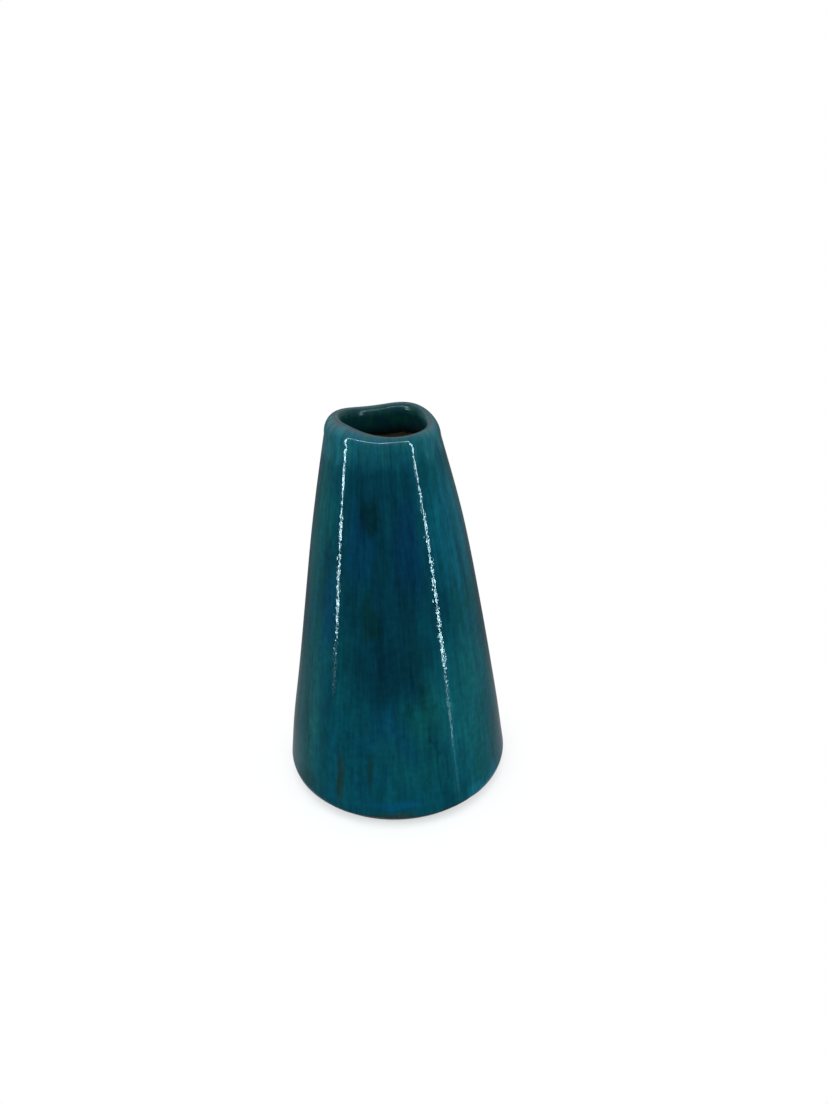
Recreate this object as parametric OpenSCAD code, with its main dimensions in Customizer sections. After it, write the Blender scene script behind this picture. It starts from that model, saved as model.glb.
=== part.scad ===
// Hand-built conical bud vase: a luted base disc, a tapering clay wall with a rolled lip,
// and the fused glaze coats. It rests on z = 0, with +Z up and the origin at the foot's centre.

/* [Outside shape] */
// Height from the resting plane to the crest of the lip
vase_h = 125; // [100:1:150]
// Widest outside diameter, just above the foot
foot_d = 74; // [64:1:90]
// Outside diameter where the lip starts to roll over
neck_d = 34.4; // [33:0.2:44]
// How far the side swells outward past a straight cone at mid-height
side_swell = 1.2; // [0:0.1:2.5]
// How far the lower edge is rounded in from the widest diameter
edge_round_w = 5; // [2:0.5:7]
// Height of that rounded lower edge
edge_round_h = 5.5; // [4:0.5:8]

/* [Lip and mouth] */
// Opening diameter, measured on the glazed throat
mouth_d = 24.6; // [20:0.2:25]
// Diameter of the lip's crest
crest_d = 28; // [27:0.2:29]
// Height of the outer roll, from the neck up to the crest
lip_roll_h = 5.5; // [4:0.5:8]
// Height of the inner edge, from the throat up to the crest
lip_edge_h = 2.8; // [2:0.2:4]

/* [Clay] */
// Thickness of the base disc, which is also the floor of the vase
base_t = 6; // [5:0.5:9]
// Thickness of the wall and its coat at the foot
foot_wall_t = 5.6; // [4.5:0.1:7]
// Width of the coil pressed into the inner corner between wall and floor
luting_w = 4; // [2:0.5:5]

/* [Glaze] */
// Thickness of the fired glaze
glaze_t = 0.6; // [0.4:0.1:0.9]
// Height at which the outer glaze stops, leaving a bare clay edge below it
bare_edge_h = 3; // [1:0.25:4]
// Depth below the crest that the glaze runs down inside the neck
neck_glaze_depth = 9; // [6:0.5:30]

/* [Hidden] */
$fn = 180;

clay_colour = [0.36, 0.25, 0.17];
slip_colour = [0.42, 0.30, 0.21];
glaze_colour = [0.03, 0.34, 0.38];
neck_colour = [0.05, 0.36, 0.38];

foot_r = foot_d / 2;
neck_r = neck_d / 2;
mouth_r = mouth_d / 2;
crest_r = crest_d / 2;
neck_h = vase_h - lip_roll_h;
throat_h = vase_h - lip_edge_h;
neck_glaze_h = vase_h - neck_glaze_depth;
side_steps = 20;
arc_steps = 8;

// Heights at which the outside and inside curves have a point
edge_heights = [for (i = [1 : arc_steps]) edge_round_h * (1 - cos(90 * i / arc_steps))];
side_heights = [for (i = [1 : side_steps]) edge_round_h + (neck_h - edge_round_h) * i / side_steps];
outside_heights = concat(edge_heights, side_heights);
inside_heights = [for (i = [1 : side_steps]) base_t + (throat_h - base_t) * i / side_steps];

// Straight taper between two radii, swollen outward by a parabola
function tapered(r_low, r_high, t) = r_low + (r_high - r_low) * t + 4 * side_swell * t * (1 - t);

// Glazed outside radius at height z: a quarter ellipse at the lower edge, then the tapered side.
// depth is how far the surface lies below the glaze: 0 for the glaze itself, glaze_t for the clay.
function outside_r(z, depth) =
    z < edge_round_h
        ? foot_r - edge_round_w + (edge_round_w - depth) * sqrt(1 - pow(1 - z / edge_round_h, 2))
        : tapered(foot_r, neck_r, (z - edge_round_h) / (neck_h - edge_round_h)) - depth;

// Bare clay radius inside the wall at height z
function inside_r(z) = tapered(foot_r - foot_wall_t, mouth_r + glaze_t, (z - base_t) / (throat_h - base_t));

function between(heights, low, high) = concat([low], [for (h = heights) if (h > low && h < high) h], [high]);
function reversed(points) = [for (i = [len(points) - 1 : -1 : 0]) points[i]];

// The curves run up the outside, over the lip and down the inside
function outside_curve(depth, low, high) = [
    for (z = between(outside_heights, low, high)) [outside_r(z, depth), z]
];

function lip_roll(depth) = [
    for (i = [1 : arc_steps])
        let (a = 90 * i / arc_steps)
        [crest_r + (neck_r - crest_r - depth) * cos(a), neck_h + (lip_roll_h - depth) * sin(a)]
];

function lip_edge(depth) = [
    for (i = [1 : arc_steps - 1])
        let (a = 90 + 90 * i / arc_steps)
        [crest_r + (crest_r - mouth_r - depth) * cos(a), throat_h + (lip_edge_h - depth) * sin(a)]
];

function inside_curve(lift, low) = reversed([
    for (z = between(inside_heights, low, throat_h)) [inside_r(z) - lift, z]
]);

// Round floor slab; the wall stands on its upper face, and its lower face is the resting face
module base_disc() {
    color(clay_colour)
        rotate_extrude()
            polygon(concat([[0, 0]], outside_curve(glaze_t, 0, base_t), [[0, base_t]]));
}

// Tapering wall with its rolled lip, luted on top of the base disc
module clay_wall() {
    color(clay_colour)
        rotate_extrude()
            polygon(concat(
                outside_curve(glaze_t, base_t, neck_h),
                lip_roll(glaze_t),
                lip_edge(glaze_t),
                inside_curve(0, base_t)
            ));
}

// Coil of soft clay pressed into the inner corner, with a hollow face left by the fingertip
module luting_coil() {
    face = [
        for (i = [0 : arc_steps])
            let (a = 90 * i / arc_steps, z = base_t + luting_w * (1 - cos(a)))
            [inside_r(z) - luting_w * (1 - sin(a)), z]
    ];
    color(slip_colour)
        rotate_extrude()
            polygon(concat([[inside_r(base_t), base_t]], face));
}

// Glaze on the outside, from the bare clay edge up to the lip's crest
module outer_glaze() {
    surface = concat(outside_curve(0, bare_edge_h, neck_h), lip_roll(0));
    backing = concat(outside_curve(glaze_t, bare_edge_h, neck_h), lip_roll(glaze_t));
    color(glaze_colour)
        rotate_extrude()
            polygon(concat(surface, reversed(backing)));
}

// Glaze that runs over the crest and down inside the neck, ending above bare clay
module neck_glaze() {
    surface = concat([[crest_r, vase_h]], lip_edge(0), inside_curve(glaze_t, neck_glaze_h));
    backing = concat([[crest_r, vase_h - glaze_t]], lip_edge(glaze_t), inside_curve(0, neck_glaze_h));
    color(neck_colour)
        rotate_extrude()
            polygon(concat(surface, reversed(backing)));
}

base_disc();
clay_wall();
luting_coil();
outer_glaze();
neck_glaze();
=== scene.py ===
import math

import bmesh
import bpy
from mathutils import Matrix, Vector, noise


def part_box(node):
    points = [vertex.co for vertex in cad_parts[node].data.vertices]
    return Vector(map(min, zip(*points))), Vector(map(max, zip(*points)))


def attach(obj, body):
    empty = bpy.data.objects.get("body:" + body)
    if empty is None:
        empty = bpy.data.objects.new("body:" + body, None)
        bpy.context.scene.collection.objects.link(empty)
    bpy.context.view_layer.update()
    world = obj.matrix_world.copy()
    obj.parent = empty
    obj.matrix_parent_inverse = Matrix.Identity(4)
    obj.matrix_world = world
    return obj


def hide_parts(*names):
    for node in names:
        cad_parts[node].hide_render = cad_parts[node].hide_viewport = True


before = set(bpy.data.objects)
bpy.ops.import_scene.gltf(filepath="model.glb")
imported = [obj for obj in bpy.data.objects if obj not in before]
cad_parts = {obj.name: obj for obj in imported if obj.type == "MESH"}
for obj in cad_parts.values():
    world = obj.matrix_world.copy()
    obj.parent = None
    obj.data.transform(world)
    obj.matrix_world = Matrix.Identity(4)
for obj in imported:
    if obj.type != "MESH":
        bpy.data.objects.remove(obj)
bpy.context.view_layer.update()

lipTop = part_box("neck_glaze")[1].z
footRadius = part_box("outer_glaze")[1].x
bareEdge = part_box("outer_glaze")[0].z
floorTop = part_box("base_disc")[1].z
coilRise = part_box("luting_coil")[1].z - floorTop
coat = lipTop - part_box("clay_wall")[1].z  # thickness of the fired glaze
print("frame loaded: lip at", round(lipTop * 1000, 1), "mm, foot radius",
      round(footRadius * 1000, 1), "mm")


def mm(value):
    return value / 1000.0


def fade(low, high, value):
    # 0 below low, 1 above high, with a soft start and end
    t = min(1.0, max(0.0, (value - low) / (high - low)))
    return t * t * (3.0 - 2.0 * t)


def hexColour(text):
    # sRGB hex to the linear colour that the sockets take
    parts = [int(text[i:i + 2], 16) / 255.0 for i in (1, 3, 5)]
    linear = [p / 12.92 if p <= 0.04045 else ((p + 0.055) / 1.055) ** 2.4 for p in parts]
    return (*linear, 1.0)


# settings and a colour that many nodes share
add = {"operation": "ADD"}
times = {"operation": "MULTIPLY"}
timesAdd = {"operation": "MULTIPLY_ADD"}
stretchBy = {"operation": "SCALE"}
blend = {"data_type": "RGBA"}
softly = {"interpolation_type": "SMOOTHSTEP"}
white = (1.0, 1.0, 1.0, 1.0)


def addNode(tree, kind, settings=None, inputs=None):
    # settings are the node's own choices; an input is a constant, or the socket that feeds it
    node = tree.nodes.new(kind)
    for key, value in (settings or {}).items():
        setattr(node, key, value)
    for key, value in (inputs or {}).items():
        if isinstance(value, bpy.types.NodeSocket):
            tree.links.new(value, node.inputs[key])
        else:
            node.inputs[key].default_value = value
    return node


# The true round form, before the maker's hand is put into it
form = {
    "edgeIn": mm(5.4),          # how far the rounded lower edge comes in
    "edgeHeight": mm(5.3),
    "sideSwell": mm(1.34),      # how far the side swells past a straight taper
    "sideSkew": mm(-1.04),      # carries some of that swell up towards the neck
    "upperSwell": mm(0.32),     # a last fullness under the shoulder
    "upperAt": mm(100),
    "upperReach": mm(24),
    "neckRadius": mm(17.2),
    "neckHeight": mm(119.1),
    "crestRadius": mm(14.1),
    "crestDrop": mm(1.2),       # the mean crest lies this far below the highest point of the lip
    "throatRadius": mm(12.3),
    "throatDrop": mm(2.8),      # from the crest down to the throat
    "wallAtFoot": mm(5.6),
}
sameSpot = mm(0.002)  # points closer than this are one point
crestHeight = lipTop - form["crestDrop"]
throatHeight = crestHeight - form["throatDrop"]

# What the hand left; a wave is (times round, height, first peak in degrees from +X)
hand = {
    "lipWaves": [(1, mm(0.96), 152.5), (2, mm(0.63), 35.8), (3, mm(0.33), 49.8), (4, mm(0.24), -37.7)],
    "mouthWaves": [(1, mm(0.19), -52.8), (2, mm(0.49), -54.8), (3, mm(0.38), 40.1),
                   (1, mm(0.42), 20.0), (2, mm(0.20), 110.0)],
    "waveReach": mm(35),        # how far down the wall the lip's wave fades out
    "lean": mm(-0.14),
    "bow": mm(0.48),
    # places left full above the foot: degrees from +X, height, reach up and down, amount
    "bulges": ((183, mm(17), mm(17), mm(0.60)), (357, mm(18), mm(13), mm(0.22)),
               (312, mm(3), mm(9), mm(0.40))),
    "bulgeFrom": mm(20),        # they show in full outside this radius, so the middle of the base stays put
    "dent": mm(0.16),           # broad pressed-in unevenness of the wall
    "dentSize": mm(38),
    "dentFrom": mm(12),         # they show in full above this height
    "dentPlace": Vector((3.1, 7.7, 1.3)),       # another value gives other dents
}


def edgeCurve(t, depth):
    angle = t * math.pi / 2
    radius = footRadius - form["edgeIn"] + (form["edgeIn"] - depth) * math.sin(angle)
    return radius, form["edgeHeight"] * (1.0 - math.cos(angle))


def edgePlace(height):
    # the t of edgeCurve at a height
    return math.acos(max(-1.0, min(1.0, 1.0 - height / form["edgeHeight"]))) / (math.pi / 2)


def sideCurve(t, depth):
    height = form["edgeHeight"] + (form["neckHeight"] - form["edgeHeight"]) * t
    upper = form["upperSwell"] * math.exp(-((height - form["upperAt"]) / form["upperReach"]) ** 2)
    swell = 4.0 * (form["sideSwell"] + upper) + form["sideSkew"] * (1.0 - 2.0 * t)
    return footRadius + (form["neckRadius"] - footRadius) * t + swell * t * (1.0 - t) - depth, height


def sidePlace(height):
    # the t of sideCurve at a height
    return (height - form["edgeHeight"]) / (form["neckHeight"] - form["edgeHeight"])


def rollCurve(t, depth):
    angle = t * math.pi / 2
    across = form["neckRadius"] - form["crestRadius"] - depth
    rise = crestHeight - form["neckHeight"] - depth
    return form["crestRadius"] + across * math.cos(angle), form["neckHeight"] + rise * math.sin(angle)


def throatCurve(t, depth):
    angle = (1.0 + t) * math.pi / 2
    across = form["crestRadius"] - form["throatRadius"] - depth
    rise = form["throatDrop"] - depth
    return form["crestRadius"] + across * math.cos(angle), throatHeight + rise * math.sin(angle)


def insideCurve(t, depth):
    # from the throat at t = 0 down to the floor at t = 1
    widening = footRadius - form["wallAtFoot"] - coat - form["throatRadius"]
    radius = form["throatRadius"] + widening * t + 4.0 * form["sideSwell"] * t * (1.0 - t)
    return radius + depth, throatHeight + (floorTop - throatHeight) * t


def insidePlace(height):
    # the t of insideCurve at a height
    return (throatHeight - height) / (throatHeight - floorTop)


def along(curve, first, last, steps, depth):
    return [curve(first + (last - first) * i / steps, depth) for i in range(steps + 1)]


def waveAt(waves, phi):
    return sum(high * math.cos(count * (phi - math.radians(peak))) for count, high, peak in waves)


def handShape(co):
    # moves a point of the true round form to where the hand left it
    phi = math.atan2(co.y, co.x)
    radius = math.hypot(co.x, co.y)
    rise = fade(crestHeight - hand["waveReach"], crestHeight, co.z)
    inward = 1.0 - fade(form["throatRadius"], form["neckRadius"], radius)
    height = min(1.0, max(0.0, co.z / crestHeight))
    dent = noise.noise(co / hand["dentSize"] + hand["dentPlace"]) * hand["dent"]
    dent *= fade(0.0, hand["dentFrom"], co.z) * (1.0 - rise)
    radius += dent + waveAt(hand["mouthWaves"], phi) * rise * rise * inward
    outward = fade(0.0, hand["bulgeFrom"], radius)
    for azimuth, at, reach, amount in hand["bulges"]:
        facing = max(0.0, math.cos(phi - math.radians(azimuth)))
        radius += amount * outward * facing * facing * math.exp(-((co.z - at) / reach) ** 2)
    shift = hand["lean"] * height + 4.0 * hand["bow"] * height * (1.0 - height)
    return Vector((radius * math.cos(phi) + shift, radius * math.sin(phi),
                   co.z + waveAt(hand["lipWaves"], phi) * rise))


def swingAt(phi, ragged):
    # how a free end of the glaze wanders round the vase, about -1 to 1
    ring = Vector((math.cos(phi), math.sin(phi), ragged["place"]))
    return sum(share * noise.noise(ring * fineness) for share, fineness in ragged["swings"])


def spinOutline(points, segments, closed):
    # one outline in the XZ plane, joined up and spun once round the Z axis
    bm = bmesh.new()
    verts = [bm.verts.new((radius, 0.0, height)) for radius, height in points]
    edges = [bm.edges.new(pair) for pair in zip(verts, verts[1:])]
    if closed:
        edges.append(bm.edges.new((verts[-1], verts[0])))
    bmesh.ops.spin(bm, geom=verts + edges, cent=(0, 0, 0), axis=(0, 0, 1), dvec=(0, 0, 0),
                   angle=math.tau, steps=segments, use_merge=True, use_duplicate=False)
    bmesh.ops.remove_doubles(bm, verts=bm.verts, dist=sameSpot)
    bmesh.ops.recalc_face_normals(bm, faces=bm.faces)
    return bm


def shapeByHand(bm):
    for v in bm.verts:
        v.co = handShape(v.co)


def finishPiece(bm, name, material):
    mesh = bpy.data.meshes.new(name)
    bm.to_mesh(mesh)
    bm.free()
    mesh.polygons.foreach_set("use_smooth", [True] * len(mesh.polygons))
    mesh.materials.append(material)
    piece = bpy.data.objects.new(name, mesh)
    bpy.context.scene.collection.objects.link(piece)
    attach(piece, "root")
    print("made", name, len(mesh.polygons), "faces")
    return piece


def ringCoordinates(tree, girth, lengthways):
    # the way round the axis at one radius, girth, with the height drawn out or left even; it has no seam
    place = addNode(tree, "ShaderNodeTexCoord").outputs["Object"]
    flat = addNode(tree, "ShaderNodeVectorMath", times, {0: place, 1: (1.0, 1.0, 0.0)})
    facing = addNode(tree, "ShaderNodeVectorMath", {"operation": "NORMALIZE"}, {0: flat.outputs[0]})
    ring = addNode(tree, "ShaderNodeVectorMath", stretchBy, {0: facing.outputs[0], "Scale": girth})
    climb = addNode(tree, "ShaderNodeVectorMath", times, {0: place, 1: (0.0, 0.0, lengthways)})
    return addNode(tree, "ShaderNodeVectorMath", add, {0: ring.outputs[0], 1: climb.outputs[0]}).outputs[0]


tealGlazeLook = {
    "teal": "#054350",
    "shoulderSheen": "#0e4e5e",       # painted sheen: the shoulder made lighter where it faces the light from above
    "shoulderSheenPatch": ("#1c5c52", 0.50),
    "shoulder": (112, 120, 0.7),        # mm where it begins and is complete, and how strong it is
    "girth": mm(28),
    "stretch": {"drawn": 0.10, "eased": 0.40, "even": 1.0},     # less is drawn out further up and down
    # size across in mm, detail, the noise values that become 0 and 1, and a shift to another part
    # of the noise
    "layers": {
        "greenish": ("eased", 13.0, 3.0, 0.42, 0.70, 0.41),
        "pooled": ("eased", 20.0, 2.0, 0.44, 0.61, 0.73),
        "brushPass": ("drawn", 3.6, 3.0, 0.30, 0.70, 0.11),
        "brushHair": ("drawn", 0.8, 2.0, 0.30, 0.70, 0.53),
        "mottle": ("even", 2.2, 3.0, 0.30, 0.70, 0.29),
        "iron": ("eased", 3.4, 3.0, 0.62, 0.78, 0.97),
        "blueRun": ("eased", 4.2, 3.0, 0.50, 0.68, 0.37),
        "breakUp": ("even", 4.0, 2.0, 0.25, 0.60, 0.19),
        "clouds": ("even", 3.4, 3.0, 0.44, 0.64, 0.61),
    },
    "tints": (("greenish", "#0a524e", 0.7), ("pooled", "#032c3f", 0.52), ("blueRun", "#043a58", 0.36),
              ("iron", "#04201f", 0.75)),
    # darkest and lightest that each layer of brushwork makes the colour
    "shades": (("brushPass", 0.72, 1.16), ("brushHair", 0.84, 1.13), ("mottle", 0.85, 1.12)),
    # degrees from +X, height, half width and half height in mm, colour, strength
    "patches": (
        # the next three darken the front middle: partly the glaze's own deeper blue, partly painted shade
        # and painted dark reflection
        (264, 80, 25, 54, "#022a38", 0.74),
        (268, 110, 20, 14, "#032f3d", 0.55),
        (266, 55, 21, 14, "#022632", 0.60),
        (284, 91, 6, 19, "#042850", 0.42),
        (248, 92, 7, 17, "#033050", 0.45),
        (226, 72, 4, 17, "#063c62", 0.40),
        (257, 102, 4.5, 8, "#021d1c", 0.60),
        (256, 71, 4.5, 8, "#03241c", 0.55),
        # the next three are painted sheen: the right side and the lower left made lighter where the sides
        # mirror the bright surroundings
        (322, 34, 24, 42, "#105a60", 0.55),
        (326, 92, 14, 24, "#0a5667", 0.50),
        (200, 30, 17, 34, "#1b4e50", 0.60),
        (240, 34, 12, 30, "#033a45", 0.50),
        (266, 11, 22, 9, "#033f4c", 0.55),
        # the next three are painted sheen: the sides and the back of the lip made lighter where they face
        # the light from above
        (200, 121, 13, 6, "#2a7884", 0.62),
        (336, 121, 13, 6, "#2b6c74", 0.62),
        (100, 124, 17, 7, "#38584a", 0.80),
        (216, 7, 9, 8, "#11383a", 0.60),
        # painted light: the lower right edge made lighter where light bounces up from the floor
        (318, 3, 14, 7, "#146478", 0.75),
    ),
    # small marks near the foot, given the same way
    "marks": (
        (238, 15, 1.7, 14, "#1b2a1f", 0.68),
        (255, 21, 1.5, 8, "#0e2c26", 0.60),
        (268, 8.5, 12, 1.8, "#044a6c", 0.62),
        (268, 5, 8, 1.5, "#27352a", 0.60),
    ),
    # how far the outlines of each wander, more along the brush than across it
    "wander": {"patches": (mm(4), mm(4), mm(16)), "marks": (mm(2), mm(2), mm(3))},
    "wanderSize": 5,        # mm
    "throughWall": mm(25),  # half size towards the axis, more than the coat and the wall
    "fullWithin": 0.35,     # the part of a patch, from its middle, that has its full strength
    "neckGreen": "#0e382c",
    "neckPool": "#052c33",      # thick inside the neck
    # neckEnd is painted shade: the coat made darker deeper down inside the neck
    "neckEnd": "#020f12",
    # where those two begin and are complete, 0 on the crest and 1 at the lower end, and their strength
    "neckFades": ((0.0, 0.06), (0.55, 1.0)),
    "neckMost": 0.88,
    "lipBreak": "#2a3f42",
    "lipDull": 0.22,        # how much duller the gloss is on that line
    "neckDull": 0.18,       # and inside the neck
    "footBreak": "#2b2622",
    "breakRange": (0.45, 0.95),     # least and most of the clay that shows through
    "roughness": (0.03, 0.07),
    "bend": 1.5,            # how strongly the glass of the glaze bends light
    "peelSize": 1.0,        # mm, the orange-peel ripple of a fired glaze
    "peelDepth": 0.040,     # mm
    "peelLeast": 0.30,      # what is left of it near the foot and the shoulder
    "peelFades": ((30, 54), (114, 96)),     # mm, where it comes in going up, and coming down
    "ridgeDepth": 0.004,    # mm, brush hairs that did not quite level out
}


def makeTealGlaze():
    # brushed copper-teal stoneware glaze, fired glossy, with streaks where the brush left it thick or thin
    mat = bpy.data.materials.new("brushedTealGlaze")
    mat.use_nodes = True
    tree = mat.node_tree
    shader = tree.nodes["Principled BSDF"]
    look = tealGlazeLook
    place = addNode(tree, "ShaderNodeTexCoord").outputs["Object"]
    height = addNode(tree, "ShaderNodeSeparateXYZ", None, {0: place}).outputs["Z"]
    ways = {name: ringCoordinates(tree, look["girth"], lengthways)
            for name, lengthways in look["stretch"].items()}

    layers = {}
    for name, (way, size, detail, low, high, shift) in look["layers"].items():
        moved = addNode(tree, "ShaderNodeVectorMath", add, {0: ways[way], 1: (shift, shift, shift)})
        cloud = addNode(tree, "ShaderNodeTexNoise", None, {
            "Vector": moved.outputs[0], "Scale": 1.0 / mm(size), "Detail": detail, "Roughness": 0.55})
        spread = addNode(tree, "ShaderNodeMapRange", None, {
            "Value": cloud.outputs["Fac"], "From Min": low, "From Max": high})
        layers[name] = spread.outputs["Result"]

    colour = hexColour(look["teal"])
    for name, text, strength in look["tints"]:
        amount = addNode(tree, "ShaderNodeMath", times, {0: layers[name], 1: strength})
        colour = addNode(tree, "ShaderNodeMix", blend, {
            0: amount.outputs[0], 6: colour, 7: hexColour(text)}).outputs[2]

    # patches have wandering outlines, because the point they are measured from is pushed about
    push = addNode(tree, "ShaderNodeTexNoise", None, {
        "Vector": ways["eased"], "Scale": 1.0 / mm(look["wanderSize"]), "Detail": 4.0})
    centred = addNode(tree, "ShaderNodeVectorMath", {"operation": "SUBTRACT"}, {
        0: push.outputs["Color"], 1: (0.5, 0.5, 0.5)})
    for group, reach in look["wander"].items():
        scaled = addNode(tree, "ShaderNodeVectorMath", times, {0: centred.outputs[0], 1: reach})
        pushed = addNode(tree, "ShaderNodeVectorMath", add, {0: place, 1: scaled.outputs[0]})
        for azimuth, z, wide, high, text, strength in look[group]:
            a = math.radians(azimuth)
            radius = sideCurve(sidePlace(mm(z)), 0.0)[0]
            local = addNode(tree, "ShaderNodeMapping", {"vector_type": "TEXTURE"}, {
                "Vector": pushed.outputs[0], "Rotation": (0.0, 0.0, a),
                "Location": (radius * math.cos(a), radius * math.sin(a), mm(z)),
                "Scale": (look["throughWall"], mm(wide), mm(high))})
            away = addNode(tree, "ShaderNodeVectorMath", {"operation": "LENGTH"}, {0: local.outputs[0]})
            amount = addNode(tree, "ShaderNodeMapRange", softly, {
                "Value": away.outputs["Value"], "From Min": 1.0, "From Max": look["fullWithin"],
                "To Max": strength})
            colour = addNode(tree, "ShaderNodeMix", blend, {
                0: amount.outputs["Result"], 6: colour, 7: hexColour(text)}).outputs[2]

    # painted sheen on the shoulder, lighter where it faces the light from above
    begins, complete, most = look["shoulder"]
    shoulder = addNode(tree, "ShaderNodeMapRange", softly, {
        "Value": height, "From Min": mm(begins), "From Max": mm(complete), "To Max": most})
    patchText, patchStrength = look["shoulderSheenPatch"]
    patched = addNode(tree, "ShaderNodeMath", times, {0: layers["clouds"], 1: patchStrength})
    top = addNode(tree, "ShaderNodeMix", blend, {
        0: patched.outputs[0], 6: hexColour(look["shoulderSheen"]), 7: hexColour(patchText)}).outputs[2]
    colour = addNode(tree, "ShaderNodeMix", blend, {
        0: shoulder.outputs["Result"], 6: colour, 7: top}).outputs[2]

    for name, dark, light in look["shades"]:
        shade = addNode(tree, "ShaderNodeMapRange", None, {
            "Value": layers[name], "To Min": dark, "To Max": light})
        colour = addNode(tree, "ShaderNodeVectorMath", stretchBy, {
            0: colour, "Scale": shade.outputs["Result"]}).outputs[0]

    # poured, not brushed, inside the neck, so the pooled colours lie over the brushwork
    inNeck = addNode(tree, "ShaderNodeAttribute", {"attribute_name": "inNeck"}).outputs["Fac"]
    pool = addNode(tree, "ShaderNodeMix", blend, {
        0: layers["clouds"], 6: hexColour(look["neckPool"]), 7: hexColour(look["neckGreen"])}).outputs[2]
    poured, deepShade = (addNode(tree, "ShaderNodeMapRange", softly, {
        "Value": inNeck, "From Min": first, "From Max": last, "To Max": look["neckMost"]}).outputs["Result"]
        for first, last in look["neckFades"])
    # the second mix is painted shade, darker deeper down the neck
    for amount, pooled in ((poured, pool), (deepShade, hexColour(look["neckEnd"]))):
        colour = addNode(tree, "ShaderNodeMix", blend, {0: amount, 6: colour, 7: pooled}).outputs[2]

    # the clay shows through where the glaze drained thin, along the edge of the lip and at its ends
    least, most = look["breakRange"]
    patchy = addNode(tree, "ShaderNodeMapRange", None, {
        "Value": layers["breakUp"], "To Min": least, "To Max": most})
    lipThin, footThin = (addNode(tree, "ShaderNodeAttribute", {"attribute_name": name}).outputs["Fac"]
                         for name in ("lipThin", "footThin"))
    for thin, text in ((lipThin, look["lipBreak"]), (footThin, look["footBreak"])):
        amount = addNode(tree, "ShaderNodeMath", times, {0: thin, 1: patchy.outputs["Result"]})
        colour = addNode(tree, "ShaderNodeMix", blend, {
            0: amount.outputs[0], 6: colour, 7: hexColour(text)}).outputs[2]
    tree.links.new(colour, shader.inputs["Base Color"])

    smooth, dull = look["roughness"]
    dullness = addNode(tree, "ShaderNodeMapRange", None, {
        "Value": layers["mottle"], "To Min": smooth, "To Max": dull}).outputs["Result"]
    for amount, extra in ((lipThin, look["lipDull"]), (poured, look["neckDull"])):
        dullness = addNode(tree, "ShaderNodeMath", timesAdd, {
            0: amount, 1: extra, 2: dullness}).outputs[0]
    tree.links.new(dullness, shader.inputs["Roughness"])
    peel = addNode(tree, "ShaderNodeTexNoise", None, {
        "Vector": place, "Scale": 1.0 / mm(look["peelSize"]), "Detail": 1.0})
    rising, falling = (addNode(tree, "ShaderNodeMapRange", softly, {
        "Value": height, "From Min": mm(first), "From Max": mm(last)}).outputs["Result"]
        for first, last in look["peelFades"])
    middle = addNode(tree, "ShaderNodeMath", times, {0: rising, 1: falling}).outputs[0]
    strength = addNode(tree, "ShaderNodeMapRange", None, {
        "Value": middle, "To Min": look["peelLeast"], "To Max": 1.0}).outputs["Result"]
    peelBump = addNode(tree, "ShaderNodeBump", None, {
        "Height": peel.outputs["Fac"], "Distance": mm(look["peelDepth"]), "Strength": strength})
    ridges = addNode(tree, "ShaderNodeBump", None, {
        "Height": layers["brushHair"], "Distance": mm(look["ridgeDepth"]), "Strength": 1.0,
        "Normal": peelBump.outputs[0]})
    tree.links.new(ridges.outputs[0], shader.inputs["Normal"])
    shader.inputs["IOR"].default_value = look["bend"]
    return mat


brownClayLook = {
    "dark": "#32241b",
    # size in mm, the noise values that become 0 and 1, colour: lighter clouds, then the grog,
    # which is crushed fired clay in the body
    "layers": ((9.0, 0.30, 0.70, "#523c2a"), (0.7, 0.60, 0.72, "#1f1610")),
    "grainSize": 0.5,       # mm
    "grainDepth": 0.05,     # mm
    "roughness": 0.85,
}


def makeBrownClay():
    # bare fired stoneware, wiped with a damp sponge: matt brown with fine dark grog that catches no light
    mat = bpy.data.materials.new("bareBrownStoneware")
    mat.use_nodes = True
    tree = mat.node_tree
    shader = tree.nodes["Principled BSDF"]
    look = brownClayLook
    place = addNode(tree, "ShaderNodeTexCoord").outputs["Object"]
    colour = hexColour(look["dark"])
    for size, low, high, text in look["layers"]:
        cloud = addNode(tree, "ShaderNodeTexNoise", None, {
            "Vector": place, "Scale": 1.0 / mm(size), "Detail": 2.0})
        amount = addNode(tree, "ShaderNodeMapRange", None, {
            "Value": cloud.outputs["Fac"], "From Min": low, "From Max": high})
        colour = addNode(tree, "ShaderNodeMix", blend, {
            0: amount.outputs["Result"], 6: colour, 7: hexColour(text)}).outputs[2]
    tree.links.new(colour, shader.inputs["Base Color"])
    grain = addNode(tree, "ShaderNodeTexNoise", None, {
        "Vector": place, "Scale": 1.0 / mm(look["grainSize"]), "Detail": 3.0})
    bump = addNode(tree, "ShaderNodeBump", None, {
        "Height": grain.outputs["Fac"], "Distance": mm(look["grainDepth"]), "Strength": 1.0})
    tree.links.new(bump.outputs[0], shader.inputs["Normal"])
    shader.inputs["Roughness"].default_value = look["roughness"]
    return mat


tealGlaze = makeTealGlaze()
brownClay = makeBrownClay()
print("materials made")

baseDisc = {
    "segments": 192,
    "edgeSteps": 14,
    "underSteps": 10,
    "hollowRise": mm(0.35),         # the underside is pressed slightly hollow
    "hollowEnds": (0.55, 0.92),     # where the hollow runs out, as parts of the flat's radius
}


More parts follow.
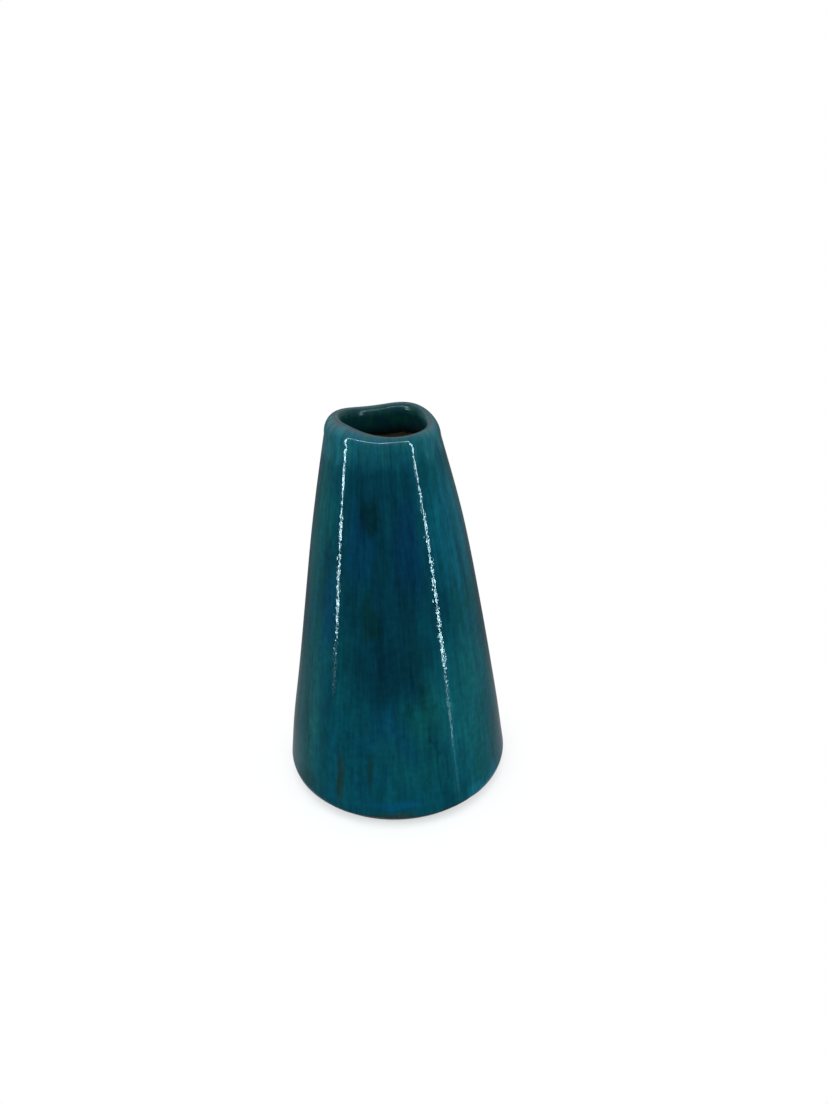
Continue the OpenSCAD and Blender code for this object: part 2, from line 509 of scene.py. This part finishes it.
def makeBaseDisc():
    flat = footRadius - form["edgeIn"]
    steps = baseDisc["underSteps"]
    outline = [(flat * i / steps, baseDisc["hollowRise"] * (1.0 - fade(*baseDisc["hollowEnds"], i / steps)))
               for i in range(steps)]
    outline += along(edgeCurve, 0.0, 1.0, baseDisc["edgeSteps"], coat)
    outline += [sideCurve(sidePlace(floorTop), coat), (0.0, floorTop)]
    bm = spinOutline(outline, baseDisc["segments"], False)
    shapeByHand(bm)
    piece = finishPiece(bm, "baseDisc", brownClay)
    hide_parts("base_disc")


clayWall = {
    "segments": 192,
    "rings": 60,
    "rollSteps": 9,
    "throatSteps": 8,
    "short": 0.1,           # the part of the roll and the throat left out beside another curve
}


def makeClayWall():
    outline = along(sideCurve, sidePlace(floorTop), 1.0, clayWall["rings"], coat)
    short = clayWall["short"]
    outline += along(rollCurve, short, 1.0, clayWall["rollSteps"], coat)
    outline += along(throatCurve, short, 1.0 - short, clayWall["throatSteps"], coat)
    outline += along(insideCurve, 0.0, 1.0, clayWall["rings"], coat)
    bm = spinOutline(outline, clayWall["segments"], True)
    shapeByHand(bm)
    piece = finishPiece(bm, "clayWall", brownClay)
    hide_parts("clay_wall")


lutingCoil = {
    "segments": 240,
    "faceSteps": 8,
    "presses": 30,
    "pressDepth": mm(0.35),
    "heldEdge": 0.35,       # the part of its face at each edge where the presses fade out
    "sway": 1.7,            # how unevenly the presses are spaced
    "swaySize": mm(14),
}


def makeLutingCoil():
    # a roll of clay worked into the corner with a fingertip, so its face is hollow and dimpled
    foot = insideCurve(1.0, coat)[0]
    top = insideCurve(insidePlace(floorTop + coilRise), coat)
    inner = foot - coilRise
    outline = [(foot, floorTop)]
    for i in range(lutingCoil["faceSteps"] + 1):
        angle = i / lutingCoil["faceSteps"] * math.pi / 2
        radius = inner + (top[0] - inner) * (1.0 - math.cos(angle))
        outline.append((radius, top[1] - coilRise * math.sin(math.pi / 2 - angle)))
    bm = spinOutline(outline, lutingCoil["segments"], True)
    for v in bm.verts:
        phi = math.atan2(v.co.y, v.co.x)
        radius = math.hypot(v.co.x, v.co.y)
        free = (fade(0.0, lutingCoil["heldEdge"], (foot - radius) / coilRise)
                * fade(0.0, lutingCoil["heldEdge"], (v.co.z - floorTop) / coilRise))
        sway = lutingCoil["sway"] * noise.noise(v.co / lutingCoil["swaySize"])
        press = 0.5 + 0.5 * math.cos(lutingCoil["presses"] * phi + sway)
        scale = 1.0 + free * press * lutingCoil["pressDepth"] / radius
        v.co = handShape(Vector((v.co.x * scale, v.co.y * scale, v.co.z)))
    piece = finishPiece(bm, "lutingCoil", brownClay)
    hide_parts("luting_coil")


# the thin line along the lip: its place on the roll, where 1 is the crest, and how far it reaches
lipLine = {"place": 0.95, "reach": mm(0.65)}


def lipThinAt(radius, height):
    # 1 on the line where hot glaze drained away, and none left at about twice its reach
    lineRadius, lineHeight = rollCurve(lipLine["place"], 0.0)
    away = math.hypot(radius - lineRadius, height - lineHeight)
    return math.exp(-(away / lipLine["reach"]) ** 2)


def layGlaze(bm, footThinAt, inNeckAt, ragged):
    # marks where the coat is thin, makes its free end ragged, and puts the hand's shape into it
    lipLayer = bm.verts.layers.float.new("lipThin")
    footLayer = bm.verts.layers.float.new("footThin")
    neckLayer = bm.verts.layers.float.new("inNeck")
    for v in bm.verts:
        v[lipLayer] = lipThinAt(math.hypot(v.co.x, v.co.y), v.co.z)
        v[footLayer] = footThinAt(v.co.z)
        v[neckLayer] = inNeckAt(v.co.z)
        v.co = handShape(ragged(v.co))


# a ragged end wanders by "most" times its "swings", each (share, how fine it is); another "place"
# gives another end
outerGlaze = {
    "segments": 288,
    "rings": 220,
    "endSteps": 6,
    "edgeSteps": 9,
    "rollSteps": 16,
    "backingSteps": (4, 24, 6),     # edge, side and roll against the clay
    "endRound": 0.10,       # how much of the rounded lower edge the coat takes to thin out
    "ragged": {"most": 0.10, "swings": ((1.0, 2.6), (0.4, 9.0)), "place": 0.0},
    "thinReach": 0.14,
}
glazeEnd = edgePlace(bareEdge)


def notInNeck(height):
    return 0.0


def outerThinAt(height):
    if height >= form["edgeHeight"]:
        return 0.0
    return math.exp(-((edgePlace(height) - glazeEnd) / outerGlaze["thinReach"]) ** 2)


def raggedFoot(co):
    # slides the lower end of the coat up and down the rounded edge
    if co.z >= form["edgeHeight"]:
        return co
    phi = math.atan2(co.y, co.x)
    t = edgePlace(co.z)
    across = math.hypot(co.x, co.y) - footRadius + form["edgeIn"]
    depth = form["edgeIn"] - across / math.sin(t * math.pi / 2)
    ragged = outerGlaze["ragged"]
    slide = swingAt(phi, ragged) * ragged["most"] * (1.0 - t) / (1.0 - glazeEnd)
    radius, height = edgeCurve(t + slide, depth)
    return Vector((radius * math.cos(phi), radius * math.sin(phi), height))


def makeOuterGlaze():
    rounding, steps = outerGlaze["endRound"], outerGlaze["endSteps"]
    outline = []
    for part in [i / steps for i in range(steps)]:
        t = glazeEnd + rounding * (1.0 - math.sqrt(1.0 - part ** 2))
        outline.append(edgeCurve(t, coat * (1.0 - part)))
    outline += along(edgeCurve, glazeEnd + rounding, 1.0, outerGlaze["edgeSteps"], 0.0)
    outline += along(sideCurve, 0.0, 1.0, outerGlaze["rings"], 0.0)[1:]
    outline += along(rollCurve, 0.0, 1.0, outerGlaze["rollSteps"], 0.0)[1:]
    edgeSteps, sideSteps, rollSteps = outerGlaze["backingSteps"]
    backing = along(edgeCurve, glazeEnd, 1.0, edgeSteps, coat)[1:]
    backing += along(sideCurve, 0.0, 1.0, sideSteps, coat)[1:]
    backing += along(rollCurve, 0.0, 1.0, rollSteps, coat)[1:]
    bm = spinOutline(outline + backing[::-1], outerGlaze["segments"], True)
    layGlaze(bm, outerThinAt, notInNeck, raggedFoot)
    piece = finishPiece(bm, "outerGlaze", tealGlaze)
    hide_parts("outer_glaze")


neckGlaze = {
    "segments": 288,
    "throatSteps": 12,
    "insideSteps": 14,
    "endSteps": 6,
    "backingSteps": (6, 6),     # throat and inside against the clay
    "depth": mm(9.3),       # how far below the crest the glaze was poured or brushed in
    "ragged": {"most": mm(1.1), "swings": ((1.0, 2.2), (0.5, 7.0)), "place": 3.0},
    "endRound": mm(0.9),
    "thinReach": mm(0.5),
}
neckEnd = crestHeight - neckGlaze["depth"]


def neckThinAt(height):
    return math.exp(-((height - neckEnd) / neckGlaze["thinReach"]) ** 2)


def inNeckAt(height):
    # 0 on the crest, 1 at the lower end of the coat
    return min(1.0, max(0.0, (crestHeight - height) / neckGlaze["depth"]))


def raggedNeck(co):
    # slides the lower end of the coat up and down the inside of the neck
    if co.z >= throatHeight:
        return co
    phi = math.atan2(co.y, co.x)
    t = insidePlace(co.z)
    depth = math.hypot(co.x, co.y) - insideCurve(t, 0.0)[0]
    reach = (throatHeight - co.z) / (throatHeight - neckEnd)
    ragged = neckGlaze["ragged"]
    slide = swingAt(phi, ragged) * ragged["most"] * reach / (throatHeight - floorTop)
    radius, height = insideCurve(t + slide, depth)
    return Vector((radius * math.cos(phi), radius * math.sin(phi), height))


def makeNeckGlaze():
    full = insidePlace(neckEnd + neckGlaze["endRound"])
    last = insidePlace(neckEnd)
    steps = neckGlaze["endSteps"]
    outline = along(throatCurve, 0.0, 1.0, neckGlaze["throatSteps"], 0.0)
    outline += along(insideCurve, 0.0, full, neckGlaze["insideSteps"], 0.0)[1:]
    for i in range(1, steps + 1):
        t = full + (last - full) * math.sqrt(1.0 - (1.0 - i / steps) ** 2)
        outline.append(insideCurve(t, coat * i / steps))
    throatSteps, insideSteps = neckGlaze["backingSteps"]
    backing = along(throatCurve, 0.0, 1.0, throatSteps, coat)
    backing += along(insideCurve, 0.0, last, insideSteps, coat)[1:-1]
    bm = spinOutline(outline + backing[::-1], neckGlaze["segments"], True)
    layGlaze(bm, neckThinAt, inNeckAt, raggedNeck)
    piece = finishPiece(bm, "neckGlaze", tealGlaze)
    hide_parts("neck_glaze")


makeBaseDisc()
makeClayWall()
makeLutingCoil()
makeOuterGlaze()
makeNeckGlaze()
print("pieces made")

studioFloor = {
    "radius": 6.0,
    "corners": 64,
    "tone": (0.9, 0.9, 0.9, 1.0),
    "roughness": 0.9,
    "whiteFrom": mm(12),
    "whiteBy": mm(54),
}


def makeStudioFloor():
    # matt white paper that is lit up to pure white away from the foot
    mat = bpy.data.materials.new("whitePaper")
    mat.use_nodes = True
    tree = mat.node_tree
    paper = tree.nodes["Principled BSDF"]
    paper.inputs["Base Color"].default_value = studioFloor["tone"]
    paper.inputs["Roughness"].default_value = studioFloor["roughness"]
    lit = addNode(tree, "ShaderNodeEmission", None, {"Color": white, "Strength": 1.0})
    place = addNode(tree, "ShaderNodeTexCoord").outputs["Object"]
    away = addNode(tree, "ShaderNodeVectorMath", {"operation": "LENGTH"}, {0: place})
    amount = addNode(tree, "ShaderNodeMapRange", softly, {
        "Value": away.outputs["Value"],
        "From Min": studioFloor["whiteFrom"], "From Max": studioFloor["whiteBy"]})
    mixed = addNode(tree, "ShaderNodeMixShader", None, {
        0: amount.outputs["Result"], 1: paper.outputs[0], 2: lit.outputs[0]})
    tree.links.new(mixed.outputs[0], tree.nodes["Material Output"].inputs["Surface"])
    bm = bmesh.new()
    bmesh.ops.create_circle(bm, cap_ends=True, radius=studioFloor["radius"], segments=studioFloor["corners"])
    mesh = bpy.data.meshes.new("studioFloor")
    bm.to_mesh(mesh)
    bm.free()
    mesh.materials.append(mat)
    floor = bpy.data.objects.new("studioFloor", mesh)
    bpy.context.scene.collection.objects.link(floor)
    floor.visible_glossy = False  # dark surroundings show in the gloss, not the white paper
    print("made the floor")


makeStudioFloor()

camera = {
    "distance": mm(306.7),    # to the middle of the foot
    "elevation": 40.3,
    "tiltDown": 26.92,
    "turnRight": 1.96,
    "roll": -1.88,
    "lens": 27.07,
    "longSide": 36.0,         # mm, what that lens fills
    "nearest": mm(5),
}


def placeCamera():
    el, tilt = math.radians(camera["elevation"]), math.radians(camera["tiltDown"])
    turn, roll = math.radians(camera["turnRight"]), math.radians(camera["roll"])
    forward = Vector((math.sin(turn) * math.cos(tilt), math.cos(turn) * math.cos(tilt), -math.sin(tilt)))
    right = Vector((math.cos(turn), -math.sin(turn), 0.0))
    up = right.cross(forward)
    rolledRight = right * math.cos(roll) + up * math.sin(roll)
    rolledUp = up * math.cos(roll) - right * math.sin(roll)
    data = bpy.data.cameras.new("camera")
    data.lens = camera["lens"]
    data.sensor_width = camera["longSide"]
    data.clip_start = camera["nearest"]
    cameraObject = bpy.data.objects.new("camera", data)
    bpy.context.scene.collection.objects.link(cameraObject)
    axes = Matrix((rolledRight, rolledUp, -forward)).transposed()
    spot = (0.0, -camera["distance"] * math.cos(el), camera["distance"] * math.sin(el))
    cameraObject.matrix_world = Matrix.Translation(spot) @ axes.to_4x4()
    bpy.context.scene.camera = cameraObject
    print("camera placed")


placeCamera()

# a frame of narrow lamps round the front; each end is (degrees from the front towards the right,
# height), and the last value is the brightness
stripLights = {
    "distance": 0.6,
    "width": 0.014,
    "colour": (0.62, 0.92, 1.0),
    "each": (
        ("leftStrip", (-73, -0.115), (-73, 0.52), 35.0),
        ("leftStripFoot", (-73, -0.18), (-73, -0.115), 2.4),
        ("rightStrip", (57, -0.15), (57, 0.52), 35.0),
        ("rightStripFoot", (57, -0.25), (57, -0.15), 4.0),
        ("rightStripEnd", (57, -0.30), (57, -0.25), 0.6),
        ("leftTopStrip", (-73, 0.52), (-8, 0.63), 30.0),
        ("rightTopStrip", (-8, 0.63), (57, 0.52), 30.0),
    ),
}
overhead = {"size": 1.4, "height": 1.5, "power": 12.0}
surroundings = {
    "plain": 0.70,          # light from all round on matt surfaces
    "frontGloss": 0.015,    # what the gloss mirrors from the front, from behind and from above
    "backGloss": 0.10,
    "aboveGloss": 0.45,
    # the ranges are of the direction looked in, from -1 straight down or to the front
    # up to 1 straight up or to the back
    "aboveFrom": 0.25,
    "frontToBack": (-0.3, 0.7),
    "behindRange": (0.0, 0.6),
    "backdropGloss": 0.22,  # the pale backdrop, behind and above the horizon
    "backdropRise": (-0.02, 0.25),
    "lowGloss": 0.36,       # the pale table, behind and low down
    "lowRise": (-0.48, -0.78),
}


def stripEnd(place):
    azimuth, height = place
    a, distance = math.radians(azimuth), stripLights["distance"]
    return Vector((distance * math.sin(a), -distance * math.cos(a), height))


def lightStudio():
    for name, first, last, brightness in stripLights["each"]:
        start, end = stripEnd(first), stripEnd(last)
        middle = (start + end) / 2
        data = bpy.data.lights.new(name, "AREA")
        data.shape = "RECTANGLE"
        data.size = stripLights["width"]
        data.size_y = (end - start).length
        data.energy = brightness * math.pi * data.size * data.size_y
        data.color = stripLights["colour"]
        lamp = bpy.data.objects.new(name, data)
        bpy.context.scene.collection.objects.link(lamp)
        # its length runs from end to end, and its face looks at the lip as squarely as it can
        length = (end - start).normalized()
        across = length.cross(middle - Vector((0.0, 0.0, crestHeight))).normalized()
        axes = Matrix((across, length, across.cross(length))).transposed()
        lamp.matrix_world = Matrix.Translation(middle) @ axes.to_4x4()
        lamp.visible_camera = False
    data = bpy.data.lights.new("overhead", "AREA")
    data.size = overhead["size"]
    data.energy = overhead["power"]
    lamp = bpy.data.objects.new("overhead", data)
    bpy.context.scene.collection.objects.link(lamp)
    lamp.location = (0.0, 0.0, overhead["height"])
    lamp.visible_camera = False
    lamp.visible_glossy = False
    print("lights placed")


def makeSurroundings():
    # white behind the vase, even light on matt surfaces, and a dim room for the gloss to mirror
    world = bpy.data.worlds.new("studio")
    world.use_nodes = True
    bpy.context.scene.world = world
    tree = world.node_tree
    tree.nodes.clear()
    path = addNode(tree, "ShaderNodeLightPath")
    toward = addNode(tree, "ShaderNodeTexCoord").outputs["Generated"]
    way = addNode(tree, "ShaderNodeSeparateXYZ", None, {"Vector": toward})
    above = addNode(tree, "ShaderNodeMapRange", None, {
        "Value": way.outputs["Z"],
        "From Min": surroundings["aboveFrom"], "To Max": surroundings["aboveGloss"]})
    first, last = surroundings["frontToBack"]
    room = addNode(tree, "ShaderNodeMapRange", None, {
        "Value": way.outputs["Y"], "From Min": first, "From Max": last,
        "To Min": surroundings["frontGloss"], "To Max": surroundings["backGloss"]})
    first, last = surroundings["behindRange"]
    behind = addNode(tree, "ShaderNodeMapRange", None, {
        "Value": way.outputs["Y"], "From Min": first, "From Max": last})
    total = addNode(tree, "ShaderNodeMath", add, {
        0: above.outputs["Result"], 1: room.outputs["Result"]}).outputs[0]
    for brightness, (first, last) in ((surroundings["backdropGloss"], surroundings["backdropRise"]),
                                      (surroundings["lowGloss"], surroundings["lowRise"])):
        part = addNode(tree, "ShaderNodeMapRange", None, {
            "Value": way.outputs["Z"], "From Min": first, "From Max": last, "To Max": brightness})
        total = addNode(tree, "ShaderNodeMath", timesAdd, {
            0: part.outputs["Result"], 1: behind.outputs["Result"], 2: total}).outputs[0]
    gloss, plain, backing = (
        addNode(tree, "ShaderNodeBackground", None, {"Color": white, "Strength": strength})
        for strength in (total, surroundings["plain"], 1.0))
    lit = addNode(tree, "ShaderNodeMixShader", None, {
        0: path.outputs["Is Glossy Ray"], 1: plain.outputs[0], 2: gloss.outputs[0]})
    seen = addNode(tree, "ShaderNodeMixShader", None, {
        0: path.outputs["Is Camera Ray"], 1: lit.outputs[0], 2: backing.outputs[0]})
    addNode(tree, "ShaderNodeOutputWorld", None, {"Surface": seen.outputs[0]})
    bpy.context.scene.view_settings.view_transform = "Standard"
    print("surroundings made")


lightStudio()
makeSurroundings()
